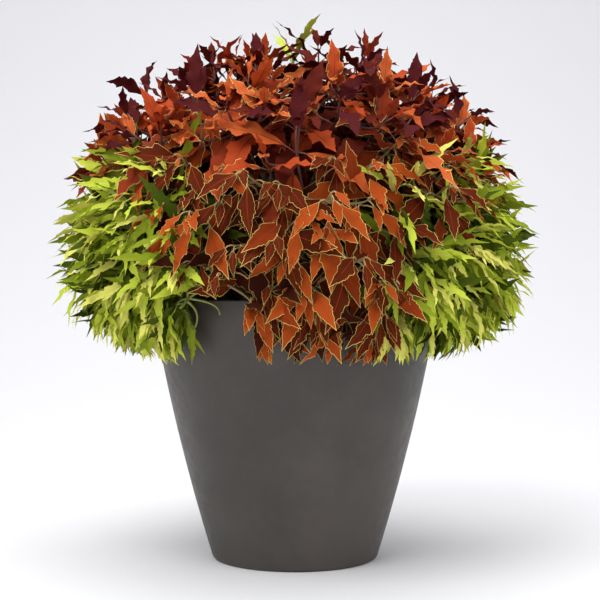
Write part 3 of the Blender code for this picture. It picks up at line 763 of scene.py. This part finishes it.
def spread_blades(template, sprays, which, habit, fit, dice):
    """The points of leaves that hang and curl from their twigs, and of the stalks that hold them."""
    length = (habit["length"] * sprays.size[which] * FIT_SIZES[fit])[:, None]
    turn = sprays.turn[which] + FIT_TURN * (fit if fit % 2 else -fit) * 0.5
    lean = np.radians(sprays.lean[which] * (1.0 - FIT_LEAN * fit))[:, None]
    axis = sprays.axis[which]
    across = unit(np.cross(axis, (0.28, -0.35, 0.89)))
    aside = np.cross(axis, across)
    out = across * np.cos(turn)[:, None] + aside * np.sin(turn)[:, None]
    first = axis * np.cos(lean) + out * np.sin(lean)
    heading = unit(first - np.array([0.0, 0.0, habit["hang"]]))
    normal = axis + np.array([0.0, 0.0, habit["face_up"]])
    normal = unit(normal - heading * (normal * heading).sum(1, keepdims=True))
    side = np.cross(normal, heading)
    stalk = habit["stalk"] * np.sqrt(sprays.size[which])[:, None]
    base = sprays.node[which] + (first + heading) * 0.5 * stalk

    along = template[None, :, 0]
    wide = template[None, :, 1]
    curl = (habit["curl"] * dice.uniform(0.3, 1.9, len(which)))[:, None]
    twist = (habit["twist"] * dice.uniform(-1.0, 1.0, len(which)))[:, None] * along
    phase = dice.uniform(0.0, math.tau, len(which))[:, None]
    wave = np.sin(math.tau * habit["waves"] * along + phase + np.sign(wide) * 1.3)
    forward = length * np.sin(curl * along) / curl
    sink = length * (1.0 - np.cos(curl * along)) / curl
    fold = (habit["fold"] * dice.uniform(-0.3, 2.3, len(which)))[:, None]
    lift = length * (template[None, :, 2] + fold * np.abs(wide) + habit["ruffle"] * wave * np.abs(wide) * 2.0)
    here = normal[:, None] * np.cos(curl * along)[..., None] + heading[:, None] * np.sin(curl * along)[..., None]
    flat = side[:, None] * np.cos(twist)[..., None] + here * np.sin(twist)[..., None]
    over = here * np.cos(twist)[..., None] - side[:, None] * np.sin(twist)[..., None]
    spine = base[:, None] + heading[:, None] * forward[..., None] - normal[:, None] * sink[..., None]
    points = spine + flat * (length * wide)[..., None] + over * lift[..., None]
    shares = np.linspace(0.0, 1.0, STALK_STEPS)[None, :, None]
    node = sprays.node[which][:, None]
    bend = node + (first * 0.6)[:, None] * stalk[:, None]
    end = base[:, None] + heading[:, None] * 0.002
    stalks = node * (1 - shares) ** 2 + bend * 2 * shares * (1 - shares) + end * shares ** 2
    return points, stalks


def in_place(points, reach):
    """True for each leaf within its reach, clear of the planter, the limbs and where the rim shows."""
    boxed = (points > np.array(solid_box[0]) - BOX_SPARE) & (points < np.array(solid_box[1]) + BOX_SPARE)
    within = (reach_share(points) < reach[:, None]).all(1) & boxed.all((1, 2))
    over = points[..., 2] > POT_HEIGHT + POT_CLEAR
    outside = np.hypot(points[..., 0], points[..., 1]) > side_radius(points[..., 2]) + POT_CLEAR
    spots = points[:, :: max(points.shape[1] // 6, 1)]
    nearest = np.full(len(points), 1.0)
    for start in range(0, len(points), 200):
        apart = spots[start:start + 200, :, None] - limb_points[None, None, ::4]
        nearest[start:start + 200] = np.sqrt((apart ** 2).sum(-1).min((1, 2)))
    azimuth = np.degrees(np.arctan2(points[..., 0], -points[..., 1]))
    parted = (azimuth > RIM_SHOWS[0]) & (azimuth < RIM_SHOWS[1]) & (points[..., 2] < POT_HEIGHT)
    return within & (over | outside).all(1) & (nearest > LIMB_CLEAR) & ~parted.any(1)


def grow(kind, leans, habit, templates, tone_of, seed):
    """Leaves of one kind and their stalks, as parts: what doesn't fit is turned, leant in or shortened."""
    dice = np.random.default_rng(seed)
    sprays = Sprays(kind, leans, dice)
    total = len(sprays.rank)
    model = dice.integers(0, len(templates), total)
    leaf_parts = []
    stalk_paths = []
    for number, (points, faces, slots) in enumerate(templates):
        left = np.flatnonzero(model == number)
        for fit in range(len(FIT_SIZES)):
            made, stalks = spread_blades(points, sprays, left, habit, fit, dice)
            good = in_place(made, sprays.reach[left])
            kept = left[good]
            finish = tone_of(sprays, kept, slots)
            leaf_parts.append((made[good], copies(points, faces, len(kept)), finish.ravel()))
            stalk_paths.append(stalks[good])
            left = left[~good]
    return leaf_parts, np.concatenate(stalk_paths)


def standing_for(kind):
    return [mass.name for mass in masses if kind_at(mass.middle) == kind]


RED_LEANS = (90.0, 18.0)
RED_HABIT = {"length": 0.100, "stalk": 0.016, "hang": 0.24, "face_up": 0.30, "curl": 0.50, "twist": 0.28,
             "fold": 0.14, "ruffle": 0.025, "waves": 2.4}
# Leaf tones from light to dark. The darker ones are partly the leaves' own spread of tone and partly painted
# shade inside the crown.
RED_TONES = {
    "orange_brick": (0.580, 0.118, 0.030),
    "brick": (0.450, 0.066, 0.018),
    "dull_red": (0.270, 0.038, 0.013),
    "dark_red": (0.105, 0.014, 0.008),
    "wine": (0.080, 0.011, 0.012),
    "pale_edge": (0.760, 0.580, 0.200),
    "red_rib": (0.200, 0.024, 0.014),
}
DARK_AND_SHADED_RED = 3
WINE, PALE_EDGE, RED_RIB = range(4, len(RED_TONES))
RED_DEAL = np.array([1, 0, 3, 0, 2, 0, 1, 3, 1, 0, 2])
WINE_SPRAYS = 3


def tone_levels(sprays, which, deal, darkest):
    """A tone for each leaf, from 0, the lightest: dealt by its spray, then painted shade makes it darker low
    down and on side twigs.
    """
    level = deal[(sprays.spray[which] * 5 + 3) % len(deal)]
    # Painted shade: one tone darker for the lowest pair of each spray, and for the two lowest pairs on side
    # twigs, which sit inside the crown.
    low = sprays.rank[which] == 0
    beside = sprays.side[which] & (sprays.rank[which] <= 1)
    return np.minimum(level + low + beside, darkest)[:, None]


def red_tones(sprays, which, slots):
    """Orange brick to dark red by spray and painted shade, with wine for the young pairs of some sprays."""
    tone = tone_levels(sprays, which, RED_DEAL, DARK_AND_SHADED_RED)
    young = (sprays.rank[which] >= 2) & (sprays.spray[which] % WINE_SPRAYS == 0)
    tone = np.where(young[:, None], WINE, tone)
    # Painted shade: leaves at the darkest tone, and the wine ones, keep their leaf tone on margin and midrib, so
    # the shaded ones lose their pale edge.
    dark = tone >= DARK_AND_SHADED_RED
    return np.choose(slots[None], [tone, np.where(dark, tone, PALE_EDGE), np.where(dark, tone, RED_RIB)])


chance = random.Random(5)
red_shape = {"half_width": 0.172, "widest": 0.42, "fullness": 1.10, "teeth": (0.20, 0.86, 6),
             "depth": 0.14, "forward": 0.060, "ragged": 0.35, "chance": chance}
red_blades = [blade([half_outline(**red_shape), half_outline(**red_shape)], margin, 0.009,
                    (0.10, 0.60, 4), 0.30) for margin in (0.0, 0.007, 0.0, 0.006)]
red_parts, red_stalks = grow("red", RED_LEANS, RED_HABIT, red_blades, red_tones, 21)
red_finishes = [Finish(name, colour, 0.60, LEAF_GLOSS) for name, colour in RED_TONES.items()]
piece("red_leaves", joined("red_leaves", red_parts), red_finishes, standing_for("red"))


# The copper leaves
# Smaller leaves of the copper coleus in front and behind: orange red with a thin cream edge, a few
# forward teeth towards the tip and a long point. They hang like stars from pale curved stalks.

COPPER_LEANS = (84.0, 26.0)
COPPER_HABIT = {"length": 0.084, "stalk": 0.022, "hang": 0.95, "face_up": 0.12, "curl": 0.40, "twist": 0.25,
                "fold": 0.14, "ruffle": 0.020, "waves": 1.6}
# Leaf tones from light to dark. The darker ones are partly the leaves' own spread of tone and partly painted
# shade, and one edge tone is a painted-shade copy of the cream edge.
COPPER_TONES = {
    "orange_copper": (0.390, 0.066, 0.011),
    "copper": (0.230, 0.034, 0.007),
    "deep_copper": (0.105, 0.017, 0.005),
    "shaded_copper": (0.045, 0.009, 0.005),
    "cream_edge": (0.700, 0.500, 0.140),
    "olive_edge": (0.330, 0.240, 0.060),
    "copper_rib": (0.330, 0.045, 0.014),
}
SHADED_COPPER, CREAM_EDGE, SHADED_CREAM_EDGE, COPPER_RIB = range(3, len(COPPER_TONES))
COPPER_DEAL = np.array([1, 3, 0, 2, 0, 3, 1, 2, 0, 3])


def copper_tones(sprays, which, slots):
    """Orange copper to shaded copper, dealt by spray and by painted shade, each with a cream edge that is
    painted duller in the shade.
    """
    tone = tone_levels(sprays, which, COPPER_DEAL, SHADED_COPPER)
    # Painted shade: the leaves at the shaded tone get the duller copy of the cream edge and no lighter rib.
    dark = tone >= SHADED_COPPER
    return np.choose(slots[None], [tone, np.where(dark, SHADED_CREAM_EDGE, CREAM_EDGE),
                                   np.where(dark, tone, COPPER_RIB)])


copper_shape = {"half_width": 0.160, "widest": 0.45, "fullness": 1.30, "teeth": (0.40, 0.82, 4),
                "depth": 0.15, "forward": 0.060, "ragged": 0.30, "chance": chance}
copper_blades = [blade([half_outline(**copper_shape), half_outline(**copper_shape)], margin, 0.008,
                       (0.10, 0.60, 4), 0.26) for margin in (0.0085, 0.0065)]
copper_parts, copper_stalks = grow("copper", COPPER_LEANS, COPPER_HABIT, copper_blades, copper_tones, 22)
copper_finishes = [Finish(name, colour, 0.60, LEAF_GLOSS) for name, colour in COPPER_TONES.items()]
piece("copper_leaves", joined("copper_leaves", copper_parts), copper_finishes,
      standing_for("copper"))


# The lime leaves
# Long, narrow leaves of the lime coleus at both sides, cut into ragged forward lobes, that lie
# over one another like thatch and droop at the edge. Yellow green, with painted shade darker within.

LIME_LEANS = (66.0, 14.0)
LIME_HABIT = {"length": 0.108, "stalk": 0.010, "hang": 0.30, "face_up": 0.45, "curl": 0.50, "twist": 0.45,
              "fold": 0.14, "ruffle": 0.040, "waves": 2.8}
# Leaf tones from light to dark. The darker ones are partly the leaves' own spread of tone and partly painted
# shade inside the crown.
LIME_TONES = {
    "yellow_lime": (0.760, 0.740, 0.150),
    "lime": (0.500, 0.580, 0.052),
    "leaf_green": (0.240, 0.300, 0.020),
    "shade_green": (0.065, 0.095, 0.008),
    "lime_rib": (0.560, 0.600, 0.160),
}
SHADE_GREEN, LIME_RIB = range(3, len(LIME_TONES))
LIME_DEAL = np.array([1, 0, 2, 1, 1, 2, 0, 1, 2])


def lime_tones(sprays, which, slots):
    """Yellow to shaded green by spray and painted shade, one step yellower for the youngest pairs, and no light
    rib on the darker ones.
    """
    tone = tone_levels(sprays, which, LIME_DEAL, SHADE_GREEN)
    tone = np.maximum(tone - (sprays.rank[which] >= 3)[:, None], 0)
    return np.choose(slots[None], [tone, tone, np.where(tone >= 2, tone, LIME_RIB)])


lime_shape = {"half_width": 0.090, "widest": 0.46, "fullness": 0.80, "teeth": (0.14, 0.84, 5),
              "depth": 0.34, "forward": 0.085, "ragged": 0.45, "chance": chance}
lime_blades = [blade([half_outline(**lime_shape), half_outline(**lime_shape)], 0.0, 0.008,
                     (0.10, 0.66, 4), 0.34) for _ in range(3)]
lime_parts, lime_stalks = grow("lime", LIME_LEANS, LIME_HABIT, lime_blades, lime_tones, 23)
lime_finishes = [Finish(name, colour, 0.55, LEAF_GLOSS) for name, colour in LIME_TONES.items()]
piece("lime_leaves", joined("lime_leaves", lime_parts), lime_finishes, standing_for("lime"))


# The leaf stalks
# Thin fleshy stalks that carry each leaf out from its twig: wine red under the red leaves, pale
# under the copper ones, and green under the lime.

STALK_COLOURS = {"red": (0.200, 0.070, 0.045), "copper": (0.520, 0.380, 0.150), "lime": (0.400, 0.450, 0.110)}
stalk_finishes = [Finish(kind + "_stalk", colour, 0.45) for kind, colour in STALK_COLOURS.items()]
stalk_radii = np.linspace(*STALK_RADII, STALK_STEPS)[None, :, None, None]
stalk_parts = [(*tubes(paths, stalk_radii, 4), slot)
               for slot, paths in enumerate((red_stalks, copper_stalks, lime_stalks))]
piece("leaf_stalks", joined("leaf_stalks", stalk_parts), stalk_finishes, [])


# The studio
# A pale floor that sweeps up into a backdrop, three soft lights, and a level camera at the height
# of the rim, a little under two metres in front.

SWEEP_HALF_WIDTH = 6.0
SWEEP_FRONT = -4.0
SWEEP_BACK = 3.8
SWEEP_ROUND = 2.6
SWEEP_HEIGHT = 4.5
SWEEP_STEPS = 16
CAMERA_AWAY = 1.775
CAMERA_LENS = 75.0
CAMERA_SHIFT = 5.0 / 600.0
PAPER = (0.86, 0.86, 0.875)

sweep_line = [(SWEEP_FRONT, 0.0)]
for k in range(SWEEP_STEPS + 1):
    angle = math.pi / 2 * k / SWEEP_STEPS
    sweep_line.append((SWEEP_BACK - SWEEP_ROUND + SWEEP_ROUND * math.sin(angle),
                       SWEEP_ROUND * (1.0 - math.cos(angle))))
sweep_line.append((SWEEP_BACK, SWEEP_HEIGHT))
sweep = bmesh.new()
line = [sweep.verts.new((-SWEEP_HALF_WIDTH, y, z)) for y, z in sweep_line]
edges = [sweep.edges.new(pair) for pair in zip(line, line[1:])]
pulled = bmesh.ops.extrude_edge_only(sweep, edges=edges)
moved = [part for part in pulled["geom"] if isinstance(part, bmesh.types.BMVert)]
bmesh.ops.translate(sweep, verts=moved, vec=(SWEEP_HALF_WIDTH * 2.0, 0.0, 0.0))
paper = Finish("studio_paper", PAPER, 0.9)
backdrop = bpy.data.objects.new("backdrop", to_mesh("backdrop", sweep))
backdrop.data.materials.append(paper.material)
bpy.context.scene.collection.objects.link(backdrop)


def soft_light(name, place, aim, size, power):
    lamp = bpy.data.lights.new(name, "AREA")
    lamp.shape = "SQUARE"
    lamp.size = size
    lamp.energy = power
    obj = bpy.data.objects.new(name, lamp)
    obj.location = place
    obj.rotation_euler = (Vector(aim) - Vector(place)).to_track_quat("-Z", "Y").to_euler()
    bpy.context.scene.collection.objects.link(obj)


soft_light("key", (-1.25, -2.0, 2.8), (0.0, 0.0, 0.45), 1.8, 60.0)
soft_light("fill", (2.2, -2.0, 2.0), (0.0, 0.0, 0.30), 2.4, 23.0)
soft_light("overhead", (0.0, 0.0, 3.3), (0.0, 0.0, 0.4), 4.0, 93.0)
world = bpy.data.worlds.new("studio")
world.use_nodes = True
world.node_tree.nodes["Background"].inputs["Color"].default_value = (0.95, 0.95, 1.0, 1.0)
world.node_tree.nodes["Background"].inputs["Strength"].default_value = 0.43
bpy.context.scene.world = world
bpy.context.scene.view_settings.view_transform = "Standard"

lens = bpy.data.cameras.new("camera")
lens.lens = CAMERA_LENS
lens.shift_x = CAMERA_SHIFT
camera = bpy.data.objects.new("camera", lens)
camera.location = (0.0, -CAMERA_AWAY, POT_HEIGHT)
camera.rotation_euler = (math.pi / 2, 0.0, 0.0)
bpy.context.scene.collection.objects.link(camera)
bpy.context.scene.camera = camera
